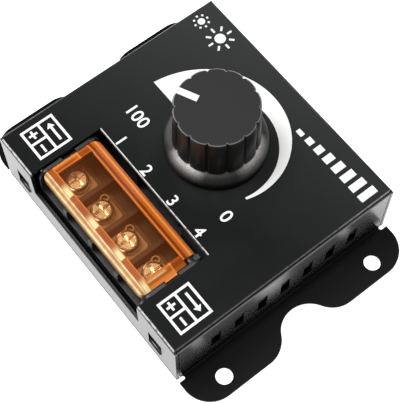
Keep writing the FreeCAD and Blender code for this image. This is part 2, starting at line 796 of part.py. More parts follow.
def knob():
    """Return the knob with its pointer groove, nut cavity and flatted bore."""
    corner = nut_across_flats / math.sqrt(3)
    cavity_radius = max(corner, washer_radius) + knob_cavity_clearance
    cavity = post(knob_x, knob_y, knob_bottom - EPS, knob_bottom + knob_cavity_height, cavity_radius)
    neck = post(knob_x, knob_y, knob_bottom - EPS, neck_top, bushing_radius + knob_cavity_clearance / 2)
    bore = post(knob_x, knob_y, knob_bottom, knob_top - knob_crown, shaft_radius + knob_bore_clearance)
    key = box(-EPS - shaft_radius, shaft_radius + EPS, shaft_radius - shaft_flat + knob_bore_clearance,
              shaft_radius + EPS, neck_top, knob_top)
    key.Placement = FreeCAD.Placement(V(knob_x, knob_y, 0), FreeCAD.Rotation(UP, pointer_angle - 90))
    return knob_blank().cut([cavity, neck, bore.cut(key), pointer_blank()])


def knob_pointer():
    """Return the white bar set into the knob's top."""
    return pointer_blank().common(knob_blank())


def mosfet_front():
    """Return the Y of the transistors' lead face."""
    return spreader_y - spreader_length / 2 + (spreader_length - mosfet_body - mosfet_tab) / 2


def mosfet_lead_places(side):
    """Return the X of three leads on one side."""
    return [side * spreader_x + step * mosfet_lead_pitch for step in (-1, 0, 1)]


def mosfet(side):
    """Return one power transistor: moulded body, metal tab and three bent leads."""
    x, y0 = side * spreader_x, mosfet_front()
    y1, y2 = y0 + mosfet_body, y0 + mosfet_body + mosfet_tab
    half = mosfet_width / 2
    body = box(x - half, x + half, y0, y1, spreader_top, spreader_top + mosfet_thickness)
    body = chamfer_where(body, level_at(spreader_top + mosfet_thickness), moulded_edge)
    tab = box(x - half, x + half, y1 - EPS, y2, spreader_top, spreader_top + mosfet_tab_thickness)
    pieces = [body, tab]
    lead_z = spreader_top + mosfet_thickness / 2
    end_y = y0 - mosfet_lead_reach
    for lead_x in mosfet_lead_places(side):
        x0, x1 = lead_x - mosfet_lead_width / 2, lead_x + mosfet_lead_width / 2
        pieces.append(box(x0, x1, end_y, y0 + EPS, lead_z, lead_z + mosfet_lead_thickness))
        pieces.append(box(x0, x1, end_y, end_y + mosfet_lead_thickness,
                          lead_bottom, lead_z + mosfet_lead_thickness))
    hole = post(x, (y1 + y2) / 2, spreader_top - EPS, spreader_top + mosfet_tab_thickness + EPS,
                tab_screw_radius + pin_clearance)
    return union(pieces).cut(hole)


def tab_screw_place(side):
    """Return where the tab screw goes on one side."""
    return side * spreader_x, mosfet_front() + mosfet_body + mosfet_tab / 2


def heat_spreader(side):
    """Return one aluminium block under a transistor."""
    x = side * spreader_x
    half_w, half_l = spreader_width / 2, spreader_length / 2
    block = rounded_block(x - half_w, x + half_w, spreader_y - half_l, spreader_y + half_l,
                          board_top, spreader_top, spreader_corner_radius)
    hole_x, hole_y = tab_screw_place(side)
    return block.cut(post(hole_x, hole_y, board_top - EPS, spreader_top + EPS, tab_screw_radius + fit_gap))


def spreader_screws():
    """Return the two screws that hold the transistor tabs down."""
    parts = []
    seat = spreader_top + mosfet_tab_thickness
    for side in (-1, 1):
        x, y = tab_screw_place(side)
        head = chamfer_where(post(x, y, seat, seat + tab_screw_head, tab_screw_head_radius),
                             level_at(seat + tab_screw_head), pan_head_edge)
        parts.append(union([head, post(x, y, board_top + fit_gap, seat, tab_screw_radius)]))
    return Part.makeCompound(parts)


def smoothing_capacitor(side):
    """Return one upright electrolytic can."""
    x = side * capacitor_x
    top = inner_top - capacitor_headroom
    can = post(x, rear_row_y, board_top, top, capacitor_radius)
    return chamfer_where(can, level_at(top), capacitor_edge)


def control_chip():
    """Return the eight-lead timer chip behind the potentiometer."""
    half_l, half_w = chip_length / 2, chip_width / 2
    z0 = board_top + chip_standoff
    body = box(-half_l, half_l, rear_row_y - half_w, rear_row_y + half_w, z0, z0 + chip_height)
    body = chamfer_where(body, level_at(z0 + chip_height), moulded_edge)
    pieces = [body]
    for index in range(chip_side_leads):
        x = (index - (chip_side_leads - 1) / 2) * chip_lead_pitch
        for sign in (-1, 1):
            y0, y1 = sorted((rear_row_y + sign * half_w, rear_row_y + sign * (half_w + chip_lead_width)))
            pieces.append(box(x - chip_lead_width / 2, x + chip_lead_width / 2, y0, y1,
                              board_top, z0 + chip_height / 2))
    return union(pieces)


def diode_lead_places():
    """Return the X of the two diode leads."""
    reach = diode_length / 2 + diode_lead_reach
    return [diode_x - reach, diode_x + reach]


def flyback_diode():
    """Return the rectifier diode, lying on the board with bent leads."""
    z = board_top + diode_radius + fit_gap
    barrel = rod(diode_x - diode_length / 2, diode_x + diode_length / 2, front_row_y, z, diode_radius)
    pieces = [chamfer_where(barrel, lambda bb: bb.XLength < 1e-6, moulded_edge)]
    low, high = diode_lead_places()
    pieces.append(rod(low, high, front_row_y, z, diode_lead_radius))
    for x in (low, high):
        pieces.append(post(x, front_row_y, lead_bottom, z, diode_lead_radius))
    return union(pieces)


def film_capacitor():
    """Return the box-shaped film capacitor behind the terminal block."""
    half_l, half_w = film_length / 2, film_width / 2
    block = box(film_x - half_l, film_x + half_l, front_row_y - half_w, front_row_y + half_w,
                board_top, board_top + film_height)
    return chamfer_where(block, level_at(board_top + film_height), moulded_edge)


def chip_resistors():
    """Return a column of surface-mount resistors between the left capacitor and the chip."""
    parts = []
    x = -(capacitor_x - capacitor_radius + chip_length / 2) / 2
    for index in range(resistor_count):
        y = rear_row_y + (index - (resistor_count - 1) / 2) * resistor_pitch
        parts.append(box(x - resistor_length / 2, x + resistor_length / 2, y - resistor_width / 2,
                         y + resistor_width / 2, board_top, board_top + resistor_height))
    return Part.makeCompound(parts)


def all_parts():
    """Return every sub-part by name."""
    parts = {
        "case_shell": case_shell(),
        "base_plate": base_plate(),
        "board_standoffs": board_standoffs(),
        "board_screws": board_screws(),
        "circuit_board": circuit_board(),
        "terminal_body": terminal_body(),
        "terminal_cover": terminal_cover(),
        "potentiometer_body": potentiometer_body(),
        "potentiometer_bushing": potentiometer_bushing(),
        "potentiometer_pins": potentiometer_pins(),
        "potentiometer_shaft": potentiometer_shaft(),
        "shaft_washer": shaft_washer(),
        "shaft_nut": shaft_nut(),
        "knob": knob(),
        "knob_pointer": knob_pointer(),
        "spreader_screws": spreader_screws(),
        "control_chip": control_chip(),
        "flyback_diode": flyback_diode(),
        "film_capacitor": film_capacitor(),
        "chip_resistors": chip_resistors(),
    }
    for index, x in enumerate(terminal_centres(), start=1):
        parts["contact_strip_%d" % index] = contact_strip(x)
        parts["clamp_plate_%d" % index] = clamp_plate(x)
        parts["terminal_screw_%d" % index] = terminal_screw(x)
    for index, side in enumerate((-1, 1), start=1):
        parts["mosfet_%d" % index] = mosfet(side)
        parts["heat_spreader_%d" % index] = heat_spreader(side)
        parts["smoothing_capacitor_%d" % index] = smoothing_capacitor(side)
    return parts


os.makedirs("parts", exist_ok=True)
for name, shape in all_parts().items():
    shape.exportStep("parts/%s.step" % name)
    print(name, "solids", len(shape.Solids), "valid", shape.isValid(), "volume", round(shape.Volume, 2))
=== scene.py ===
"""Looks of the LED strip dimmer: finishes, eased edges, printed marks, light and camera.

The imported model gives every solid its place. This script gives each one its finish, adds
the printed marks on the case, and sets up a plain studio. Lengths are in metres.
"""

import logging
import math
from dataclasses import dataclass, field
from enum import Enum
from functools import cache
from typing import Any, Mapping, Optional, Sequence, Union

import bmesh
import bpy
from mathutils import Matrix, Vector


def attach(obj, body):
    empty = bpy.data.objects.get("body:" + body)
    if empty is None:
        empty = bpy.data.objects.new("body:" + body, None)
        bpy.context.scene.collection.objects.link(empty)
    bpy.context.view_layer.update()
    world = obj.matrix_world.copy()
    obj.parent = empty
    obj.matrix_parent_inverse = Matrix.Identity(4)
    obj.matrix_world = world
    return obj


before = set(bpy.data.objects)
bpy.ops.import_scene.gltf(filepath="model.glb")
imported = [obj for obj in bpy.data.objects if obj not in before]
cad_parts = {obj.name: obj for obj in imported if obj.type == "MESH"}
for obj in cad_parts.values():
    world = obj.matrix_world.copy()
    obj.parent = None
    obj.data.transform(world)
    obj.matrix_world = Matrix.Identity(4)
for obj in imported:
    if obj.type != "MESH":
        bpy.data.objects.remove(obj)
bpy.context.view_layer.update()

log = logging.getLogger("dimmer")

MM = 0.001
Point = tuple[float, float]
Span = tuple[float, float]
Triple = tuple[float, float, float]
Box = tuple[float, float, float, float]
Cubic = tuple[float, float, float, float]
Colour = Triple
WHITE: Colour = (1.0, 1.0, 1.0)
EVEN: Triple = (1.0, 1.0, 1.0)
TOP = 17.7 * MM
WAYS = 4
WAY_PITCH = 9.5 * MM
FACE_SKIN = 0.01 * MM
NOISE_MEAN = 0.5
MOST_NOISE: Span = (0.3, 0.7)
WELD_REACH = 0.001 * MM
BEVEL_STEPS = 2
BEVEL_FROM = math.radians(32)


class Slot(Enum):
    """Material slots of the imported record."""

    INK = "pointer_white"


class Ease(Enum):
    """How far an edge is rounded, in metres."""

    CRISP = 0.06 * MM
    LIGHT = 0.12 * MM
    SOFT = 0.2 * MM


class Flow(Enum):
    """Which way current goes at a pair of terminals, as the arrow in its box points."""

    OUT = -1
    IN = 1


class Term:
    """A shader socket that takes part in plain arithmetic."""

    def __init__(self, shader: "Shader", socket: bpy.types.NodeSocket) -> None:
        """Keep the socket that this stands for and the shader that new nodes go into."""
        self.shader = shader
        self.socket = socket

    def __add__(self, other: "Operand") -> "Term":
        """Return this plus another value."""
        return self.shader.maths("ADD", self, other)

    def __radd__(self, other: float) -> "Term":
        """Return a number plus this."""
        return self.shader.maths("ADD", other, self)

    def __sub__(self, other: "Operand") -> "Term":
        """Return this less another value."""
        return self.shader.maths("SUBTRACT", self, other)

    def __rsub__(self, other: float) -> "Term":
        """Return a number less this."""
        return self.shader.maths("SUBTRACT", other, self)

    def __mul__(self, other: "Operand") -> "Term":
        """Return this times another value."""
        return self.shader.maths("MULTIPLY", self, other)

    def __rmul__(self, other: float) -> "Term":
        """Return a number times this."""
        return self.shader.maths("MULTIPLY", other, self)

    def __truediv__(self, other: "Operand") -> "Term":
        """Return this divided by another value."""
        return self.shader.maths("DIVIDE", self, other)

    def __abs__(self) -> "Term":
        """Return the size of this value without its sign."""
        return self.shader.maths("ABSOLUTE", self)

    def below(self, limit: float) -> "Term":
        """Return 1 where this is less than a limit, else 0."""
        return self.shader.maths("LESS_THAN", self, limit)

    def above(self, limit: float) -> "Term":
        """Return 1 where this is more than a limit, else 0."""
        return self.shader.maths("GREATER_THAN", self, limit)

    def most(self, other: "Operand") -> "Term":
        """Return the larger of this and another value."""
        return self.shader.maths("MAXIMUM", self, other)

    def repeated(self, step: float) -> "Term":
        """Return how far this is from the nearest whole number of steps."""
        return self.shader.maths("PINGPONG", self, step / 2)

    def eased(self, low: float, high: float) -> "Term":
        """Return a soft rise, 0 below low and 1 above high."""
        return self.shader.add("ShaderNodeMapRange", {"interpolation_type": "SMOOTHSTEP"},
                               {"Value": self, "From Min": low, "From Max": high})


Operand = Union[Term, float]


class Shader:
    """One material's node tree."""

    def __init__(self, name: str) -> None:
        """Start an empty material.

        Args:
            name: The material's name.
        """
        self.material = bpy.data.materials.new(name)
        self.material.use_nodes = True
        self.tree = self.material.node_tree
        self.tree.nodes.clear()
        self.place = self.add("ShaderNodeTexCoord", output="Object")

    def add(self, kind: str, settings: Optional[Mapping[str, Any]] = None,
            inputs: Optional[Mapping[Union[str, int], Any]] = None,
            output: Union[str, int] = 0) -> Term:
        """Add a node.

        Args:
            kind: The node's type.
            settings: Values of the node itself, set first.
            inputs: Values or terms for its sockets, by name or place.
            output: The output that the returned term stands for.

        Returns:
            A term for that output.
        """
        node = self.tree.nodes.new(kind)
        for key, value in (settings or {}).items():
            setattr(node, key, value)
        for key, value in (inputs or {}).items():
            socket = node.inputs[key]
            if isinstance(value, Term):
                self.tree.links.new(value.socket, socket)
            elif socket.type == "RGBA":
                socket.default_value = (*value, 1.0)
            else:
                socket.default_value = value
        return Term(self, node.outputs[output])

    def maths(self, operation: str, *values: Operand) -> Term:
        """Add a Math node on values or terms and return its result."""
        return self.add("ShaderNodeMath", {"operation": operation}, dict(enumerate(values)))

    def axes(self) -> tuple[Term, Term, Term]:
        """Return the X, Y and Z of the shaded point."""
        split = self.add("ShaderNodeSeparateXYZ", inputs={"Vector": self.place}).socket.node
        return tuple(Term(self, split.outputs[index]) for index in range(3))

    def blend(self, factor: Operand, first: Union[Term, Colour], second: Union[Term, Colour]) -> Term:
        """Return a mix of two colours, the first at factor 0 and the second at 1."""
        return self.add("ShaderNodeMix", {"data_type": "RGBA"}, {0: factor, 6: first, 7: second}, output=2)

    def noise(self, size: float, detail: int = 2, stretch: Triple = EVEN) -> Term:
        """Return smooth noise, mostly near 0.5, with blotches of a given size in metres."""
        spread = self.add("ShaderNodeVectorMath", {"operation": "MULTIPLY"}, {0: self.place, 1: stretch})
        return self.add("ShaderNodeTexNoise", inputs={"Vector": spread, "Scale": 1 / size, "Detail": detail})

    def speckle(self, size: float) -> Term:
        """Return the distance to the nearest of many scattered points, a size apart."""
        return self.add("ShaderNodeTexVoronoi", inputs={"Vector": self.place, "Scale": 1 / size})

    def bump(self, height: Term, depth: float) -> Term:
        """Return a normal for a height field of a given depth in metres."""
        return self.add("ShaderNodeBump", inputs={"Strength": 1.0, "Distance": depth, "Height": height})

    def close(self, surface: Term) -> bpy.types.Material:
        """Join a shader to the output.

        Args:
            surface: The shader that covers the piece.

        Returns:
            The finished material.
        """
        output = self.tree.nodes.new("ShaderNodeOutputMaterial")
        self.tree.links.new(surface.socket, output.inputs["Surface"])
        return self.material


@dataclass(frozen=True)
class Finish:
    """A surface with a fine grain, a slow drift of shade and an uneven gloss."""

    name: str
    colour: Colour
    roughness: float = 0.45
    grain: float = 0.4 * MM
    relief: float = 0.004 * MM
    drift: float = 0.15
    drift_size: float = 12 * MM
    metallic: float = 0.0
    specular: float = 0.5
    coat: float = 0.0
    coat_roughness: float = 0.2
    gloss_size: float = 4 * MM
    gloss_swing: float = 0.35

    def shade(self, shader: Shader) -> Term:
        """Return the colour over the surface.

        Args:
            shader: The shader that it is for.

        Returns:
            The finish's colour, drifting slowly.
        """
        pale = tuple(min(1.0, part * (1 + self.drift)) for part in self.colour)
        deep = tuple(part * (1 - self.drift) for part in self.colour)
        return shader.blend(shader.noise(self.drift_size, detail=3).eased(*MOST_NOISE), deep, pale)

    def gloss(self, shader: Shader) -> Term:
        """Return the roughness over the surface."""
        swing = self.roughness * self.gloss_swing
        return self.roughness + (shader.noise(self.gloss_size, detail=3) - NOISE_MEAN) * swing

    def height(self, shader: Shader) -> Term:
        """Return the height of the grain."""
        return shader.noise(self.grain)

    def coating(self, shader: Shader) -> Operand:
        """Return how much clear coat lies over the surface."""
        return self.coat

    def make(self) -> bpy.types.Material:
        """Return the material."""
        shader = Shader(self.name)
        return shader.close(self.surface(shader))

    def surface(self, shader: Shader) -> Term:
        """Return the principled shader of this finish.

        Args:
            shader: The shader that it is for.

        Returns:
            The shader's output.
        """
        return shader.add("ShaderNodeBsdfPrincipled", inputs={
            "Base Color": self.shade(shader),
            "Roughness": self.gloss(shader),
            "Normal": shader.bump(self.height(shader), self.relief),
            "Metallic": self.metallic,
            "Specular IOR Level": self.specular,
            "Coat Weight": self.coating(shader),
            "Coat Roughness": self.coat_roughness,
        })


@dataclass(frozen=True)
class PowderCoat(Finish):
    """Baked black paint: fine orange peel with raised specks, a painted sheen on the top and up the side
    walls, and painted highlights along edges.
    """

    peel: float = 1.1 * MM
    wave_share: float = 0.6
    speck_reach: float = 0.22
    speck_share: float = 0.35
    top_coat: float = 0.14
    flange: float = 0.8 * MM
    flange_coat: float = 0.1
    flange_colour: Colour = (0.0055, 0.006, 0.0058)
    # Painted sheen on the top, growing towards its far left corner: where it starts, how far it spreads, its
    # slant and its colour.
    top_sheen_from: float = 12 * MM
    top_sheen_over: float = 50 * MM
    top_sheen_slant: float = 0.5
    top_sheen_colour: Colour = (0.0375, 0.0387, 0.0392)
    # Painted sheen on the side walls, growing paler towards the top.
    wall: float = 32.3 * MM
    wall_sheen_from: float = -2 * MM
    wall_sheen_colour: Colour = (0.13, 0.13, 0.127)
    # Painted highlights: a near-white line along the cut edge behind the terminals and along the front and
    # right folds.
    edge_highlight_colour: Colour = (0.8, 0.78, 0.76)
    painted_light_above: float = 16.8 * MM
    cut: float = -11.2 * MM
    cut_half: float = 0.22 * MM
    cut_span: Span = (-20.3 * MM, 19.1 * MM)
    fold_half: float = 0.17 * MM
    front_fold: float = -30.15 * MM
    front_share: float = 0.85
    side_fold: float = 31.8 * MM
    side_span: Span = (8 * MM, 30 * MM)
    side_least: float = 0.16
    side_rise: float = 0.3
    patch: float = 1.2 * MM
    patch_edges: Span = (0.2, 0.5)
    fleck: float = 0.5 * MM

    def on_flange(self, up: Term) -> Term:
        """Return 1 on the flanges and what lies lower, else 0."""
        return up.below(self.flange + FACE_SKIN)

    def edge_highlights(self, shader: Shader) -> Term:
        """Return the painted highlight along the cut edge behind the terminals and on two folds.

        Args:
            shader: The shader that it is for.

        Returns:
            1 for a full painted highlight and 0 for plain paint.
        """
        across, along, up = shader.axes()
        patchy = shader.noise(self.patch).eased(*self.patch_edges)
        cut = abs(along - self.cut).below(self.cut_half)
        cut = cut * across.above(self.cut_span[0]) * across.below(self.cut_span[1])
        front = abs(along - self.front_fold).below(self.fold_half) * self.front_share
        side = abs(across - self.side_fold).below(self.fold_half)
        side = side * (self.side_least + along.eased(*self.side_span) * self.side_rise)
        highlight_share = (cut.most(front) * patchy).most(side * shader.noise(self.fleck, detail=1))
        return highlight_share * up.above(self.painted_light_above)

    def shade(self, shader: Shader) -> Term:
        """Return the paint's colour.

        Args:
            shader: The shader that it is for.

        Returns:
            The paint, with a painted sheen growing towards the top's far left corner and up the side walls,
            and painted highlights along its edges.
        """
        across, along, up = shader.axes()
        # Painted sheen: the top grows paler towards its far left corner.
        fade = (along - across * self.top_sheen_slant + self.top_sheen_from) / self.top_sheen_over
        fade = shader.maths("MINIMUM", fade.most(0.0), 1.0) * up.above(self.painted_light_above)
        paint = shader.blend(fade, super().shade(shader), self.top_sheen_colour)
        # Painted sheen: the side walls grow paler towards the top.
        wall_sheen = abs(across).above(self.wall) * up.eased(self.wall_sheen_from, TOP)
        paint = shader.blend(wall_sheen, paint, self.wall_sheen_colour)
        paint = shader.blend(self.on_flange(up), paint, self.flange_colour)
        # Painted highlight along the cut edge and the two folds.
        return shader.blend(self.edge_highlights(shader), paint, self.edge_highlight_colour)

    def coating(self, shader: Shader) -> Operand:
        """Return the clear coat over the paint.

        Args:
            shader: The shader that it is for.

        Returns:
            A full coat on the walls and bends and a thin one on the top and the flanges.
        """
        up = shader.axes()[2]
        less_on_top = up.above(TOP - FACE_SKIN) * (self.coat - self.top_coat)
        return self.coat - less_on_top - self.on_flange(up) * (self.coat - self.flange_coat)

    def height(self, shader: Shader) -> Term:
        """Return fine peel over broader waves, with scattered specks.

        Args:
            shader: The shader that it is for.

        Returns:
            The height, in shares of the relief.
        """
        specks = 1 - shader.speckle(self.peel).eased(0.0, self.speck_reach)
        waves = shader.noise(self.peel, detail=1) * self.wave_share
        return shader.noise(self.grain) + waves + specks * self.speck_share


@dataclass(frozen=True)
class GripPlastic(Finish):
    """Moulded knob plastic: a matt lid, glossier fluted sides and a satin skirt with a painted sheen in two
    places, with dusty speckles.
    """

    axis: Point = (-1.3 * MM, 7.2 * MM)
    lid: float = 33.8 * MM
    lid_under: float = 0.03 * MM
    lid_colour: Colour = (0.011, 0.011, 0.011)
    lid_roughness: float = 0.65
    rim_under: Span = (0.28 * MM, 0.2 * MM)
    # Painted highlight in a thin band just under the lid's edge.
    rim_highlight_colour: Colour = (0.2, 0.2, 0.2)
    skirt: float = 21.6 * MM
    skirt_under: float = 0.1 * MM
    skirt_over: float = 0.2 * MM
    skirt_roughness: float = 0.42
    # Painted sheen on the skirt, in a front patch and a side patch near the flutes, with dusty speckles.
    sheen_reach: Span = (9.5 * MM, 12.2 * MM)
    dust_and_sheen_colour: Colour = (0.8, 0.78, 0.75)
    sheen_front: Point = (0.17, -0.985)
    sheen_front_from: float = 0.84
    sheen_side: Point = (0.94, 0.342)
    sheen_side_from: float = 0.78
    sheen_side_share: float = 0.95
    sheen_least: float = 0.09
    sheen_even: float = 0.7
    speck: float = 0.5 * MM
    speck_edges: Span = (0.3, 0.65)

    def on_lid(self, shader: Shader) -> Term:
        """Return 1 on the flat top and 0 below it."""
        return shader.axes()[2].above(self.lid - self.lid_under)

    def on_skirt(self, shader: Shader) -> Term:
        """Return 1 on the skirt, fading up the sides."""
        return 1 - shader.axes()[2].eased(self.skirt - self.skirt_under, self.skirt + self.skirt_over)

    def dust_and_sheen(self, shader: Shader) -> Term:
        """Return the painted sheen on the skirt, with dusty speckles.

        Args:
            shader: The shader that it is for.

        Returns:
            The painted sheen, most at the front and at one side, and more close to the fluted sides.
        """
        across, along, _ = shader.axes()
        east, north = across - self.axis[0], along - self.axis[1]
        away = shader.maths("SQRT", shader.maths("POWER", east, 2) + shader.maths("POWER", north, 2))
        east, north = east / away, north / away
        front = (east * self.sheen_front[0] + north * self.sheen_front[1]).eased(self.sheen_front_from, 1.0)
        side = (east * self.sheen_side[0] + north * self.sheen_side[1]).eased(self.sheen_side_from, 1.0)
        share = front.most(side * self.sheen_side_share).most(self.sheen_least)
        specks = shader.noise(self.speck).eased(*self.speck_edges)
        share = share * (self.sheen_even + specks * (1 - self.sheen_even))
        return (1 - away.eased(*self.sheen_reach)) * self.on_skirt(shader) * share

    def shade(self, shader: Shader) -> Term:
        """Return the knob's colour.

        Args:
            shader: The shader that it is for.

        Returns:
            Dark sides, a painted highlight just under the lid's edge, a plain lid and a skirt with a painted
            sheen and dusty speckles.
        """
        up = shader.axes()[2]
        # Painted highlight just under the lid's edge.
        rim = up.eased(self.lid - self.rim_under[0], self.lid - self.rim_under[1])
        colour = shader.blend(rim, super().shade(shader), self.rim_highlight_colour)
        colour = shader.blend(self.on_lid(shader), colour, self.lid_colour)
        # Painted sheen on the skirt, with dusty speckles.
        return shader.blend(self.dust_and_sheen(shader), colour, self.dust_and_sheen_colour)

    def gloss(self, shader: Shader) -> Term:
        """Return the knob's roughness.

        Args:
            shader: The shader that it is for.

        Returns:
            Glossy sides, a matt lid and a satin skirt.
        """
        side = super().gloss(shader)
        side = side + self.on_skirt(shader) * (self.skirt_roughness - side)
        return side + self.on_lid(shader) * (self.lid_roughness - side)


@dataclass(frozen=True)
class DrawnMetal(Finish):
    """Plated or turned metal with fine lines along one axis."""

    along: Triple = (1.0, 9.0, 9.0)
    metallic: float = 1.0
    gloss_swing: float = 0.6
    streak: float = 3.0

    def height(self, shader: Shader) -> Term:
        """Return fine drawn lines."""
        return shader.noise(self.grain, detail=3, stretch=self.along)

    def gloss(self, shader: Shader) -> Term:
        """Return a roughness that follows the lines."""
        lines = shader.noise(self.grain * self.streak, stretch=self.along)
        return self.roughness + (lines - NOISE_MEAN) * (self.roughness * self.gloss_swing)


@dataclass(frozen=True)
class Laminate(Finish):
    """Circuit board: black mask over wide copper tracks."""

    track: float = 3.2 * MM
    track_colour: Colour = (0.009, 0.011, 0.01)
    track_edges: Span = (0.17, 0.21)
    jog: float = 1.6 * MM
    jog_every: float = 21 * MM
    jog_span: Span = (4 * MM, 6 * MM)
    weave_share: float = 0.2

    def copper(self, shader: Shader) -> Term:
        """Return where the tracks run.

        Args:
            shader: The shader that it is for.

        Returns:
            1 over the tracks and 0 between them.
        """
        across, along, _ = shader.axes()
        bent = across + along.repeated(self.jog_every).eased(*self.jog_span) * self.jog
        return bent.repeated(self.track).eased(*(self.track * edge for edge in self.track_edges))

    def shade(self, shader: Shader) -> Term:
        """Return the mask, with another shade over copper."""
        return shader.blend(self.copper(shader), super().shade(shader), self.track_colour)

    def height(self, shader: Shader) -> Term:
        """Return tracks that stand a little proud."""
        return self.copper(shader) + shader.noise(self.grain) * self.weave_share


@dataclass(frozen=True)
class CanSleeve(Finish):
    """Shrink sleeve of an upright can, with the bare end and a pale side stripe."""

    shoulder: float = 15.1 * MM
    shoulder_soft: float = 0.2 * MM
    side: float = 13.5 * MM
    stripe_from: float = 2.8 * MM
    stripe_colour: Colour = (0.42, 0.45, 0.5)
    end_colour: Colour = (0.62, 0.62, 0.64)

    def shade(self, shader: Shader) -> Term:
        """Return the can's colour.

        Args:
            shader: The shader that it is for.

        Returns:
            The sleeve, its stripe and the bare end.
        """
        across, _, up = shader.axes()
        stripe = (abs(across) - self.side).above(self.stripe_from)
        sleeve = shader.blend(stripe, super().shade(shader), self.stripe_colour)
        end = up.eased(self.shoulder - self.shoulder_soft, self.shoulder)
        return shader.blend(end, sleeve, self.end_colour)


@dataclass(frozen=True)
class AmberClear(Finish):
    """Clear amber moulding: see-through over the screws, with painted highlights, glints and shade in the
    bands where its walls bend the light.

    Lines, lips, glints and grooves are spans of depth, the distance from the cover's outer edge. The spans
    side_before and side_cross run along Y, and way_glint runs along X from the start of each way.
    """

    tint: Colour = (0.99, 0.86, 0.7)
    deep: Colour = (0.26, 0.04, 0.005)
    warm: Colour = (0.5, 0.115, 0.014)
    lit: Colour = (0.86, 0.3, 0.07)
    pale: Colour = (1.0, 0.82, 0.42)
    left: float = -19.05 * MM
    right: float = 17.85 * MM
    front: float = -28.35 * MM
    back: float = -13.2 * MM
    cheek: float = -19.0 * MM
    soft: float = 0.12 * MM
    crisp: float = 0.08 * MM
    band_left: float = 2.3 * MM
    band_right: float = 2.5 * MM
    band_front: float = 3.0 * MM
    band_back: float = 2.9 * MM
    band_share: float = 0.93
    lid_share: float = 0.07
    lid_inset: Span = (5 * MM, 3 * MM)
    lid_back: Colour = (0.42, 0.12, 0.03)
    way_first: float = -14.85 * MM
    way_glint: Span = (0.5 * MM, 4.5 * MM)
    way_soft: float = 0.02
    way_rise: float = 0.26
    glint: Span = (1.6 * MM, 2.75 * MM)
    glint_share: float = 0.9
    flow: float = 1.4 * MM
    flow_stretch: Triple = (1.0, 0.3, 0.3)
    ground_most: float = 0.55
    ground_swing: float = 0.35
    front_lines: tuple[Span, Span] = ((0.1 * MM, 0.62 * MM), (1.15 * MM, 1.5 * MM))
    front_between: float = 0.3
    front_least: float = 0.6
    front_lip: Span = (2.75 * MM, 2.95 * MM)
    front_lip_share: float = 0.7
    back_rise: Span = (0.3 * MM, 0.7 * MM)
    back_fall: Span = (0.9 * MM, 1.3 * MM)
    back_least: float = 0.15
    back_warm: float = 0.8
    back_groove: Span = (1.8 * MM, 2.5 * MM)
    back_lip: Span = (2.6 * MM, 2.95 * MM)
    back_lip_share: float = 0.6
    side_rise: Span = (0.5 * MM, 1.1 * MM)
    side_least: float = 0.25
    side_before: Span = (-25.5 * MM, -20.4 * MM)
    side_before_soft: float = 0.6 * MM
    side_dull: float = 0.6
    side_dull_rise: Span = (0.9 * MM, 1.3 * MM)
    side_glint: Span = (1.45 * MM, 1.85 * MM)
    side_glint_soft: float = 0.2 * MM
    side_lip: Span = (1.9 * MM, 2.3 * MM)
    side_lip_share: float = 0.4
    side_past: float = 0.4 * MM
    side_past_share: float = 0.7
    side_cross: Span = (-19.25 * MM, -18.95 * MM)
    side_cross_share: float = 0.8
    glow_left: float = 0.0
    glow_right: float = 0.6

    def stripe(self, value: Term, span: Span, soft: Optional[float] = None) -> Term:
        """Return a soft stripe.

        Args:
            value: What it runs across.
            span: Where it starts and ends.
            soft: How far its edges fade, or None for the usual softness.

        Returns:
            1 within the stripe and 0 outside it.
        """
        soft = soft or self.soft
        rise, fall = (value.eased(edge - soft, edge + soft) for edge in span)
        return rise * (1 - fall)

    def front_colour(self, shader: Shader, depth: Term, across: Term) -> Term:
        """Return the front band's painted light: two painted highlight lines, then painted glints beside
        each screw on a warm ground.

        Args:
            shader: The shader that it is for.
            depth: The distance from the band's outer edge.
            across: The point's X.

        Returns:
            The colour of the band.
        """
        turn = shader.maths("FRACT", (across - self.way_first) / WAY_PITCH)
        start, end = (edge / WAY_PITCH for edge in self.way_glint)
        glint = turn.eased(start - self.way_soft, start + self.way_rise)
        glint = glint * (1 - turn.eased(end - self.way_soft, end + self.way_soft))
        glint = glint * self.stripe(depth, self.glint)
        flow = shader.noise(self.flow, stretch=self.flow_stretch).eased(*MOST_NOISE)
        ground = shader.blend(self.ground_most - flow * self.ground_swing, self.warm, self.deep)
        colour = shader.blend(glint * self.glint_share, ground, self.pale)
        lip = self.stripe(depth, self.front_lip, self.crisp) * self.front_lip_share
        colour = shader.blend(lip, colour, self.lit)
        outer, inner = self.front_lines
        lines = self.stripe(depth, outer).most(self.stripe(depth, inner))
        lines = lines.most(depth.below(inner[1]) * self.front_between)
        return shader.blend(lines * (self.front_least + flow * (1 - self.front_least)), colour, self.pale)

    def back_colour(self, shader: Shader, depth: Term) -> Term:
        """Return the back band's painted light: a painted dark line between a thin painted highlight and a
        bright painted edge.

        Args:
            shader: The shader that it is for.
            depth: The distance from the band's outer edge.

        Returns:
            The colour of the band.
        """
        colour = shader.blend(depth.eased(*self.back_rise), self.warm, self.lit)
        fall = self.back_least + depth.eased(*self.back_fall) * self.back_warm
        colour = shader.blend(fall, colour, self.warm)
        colour = shader.blend(self.stripe(depth, self.back_groove), colour, self.deep)
        lip = self.stripe(depth, self.back_lip, self.crisp) * self.back_lip_share
        return shader.blend(lip, colour, self.lit)

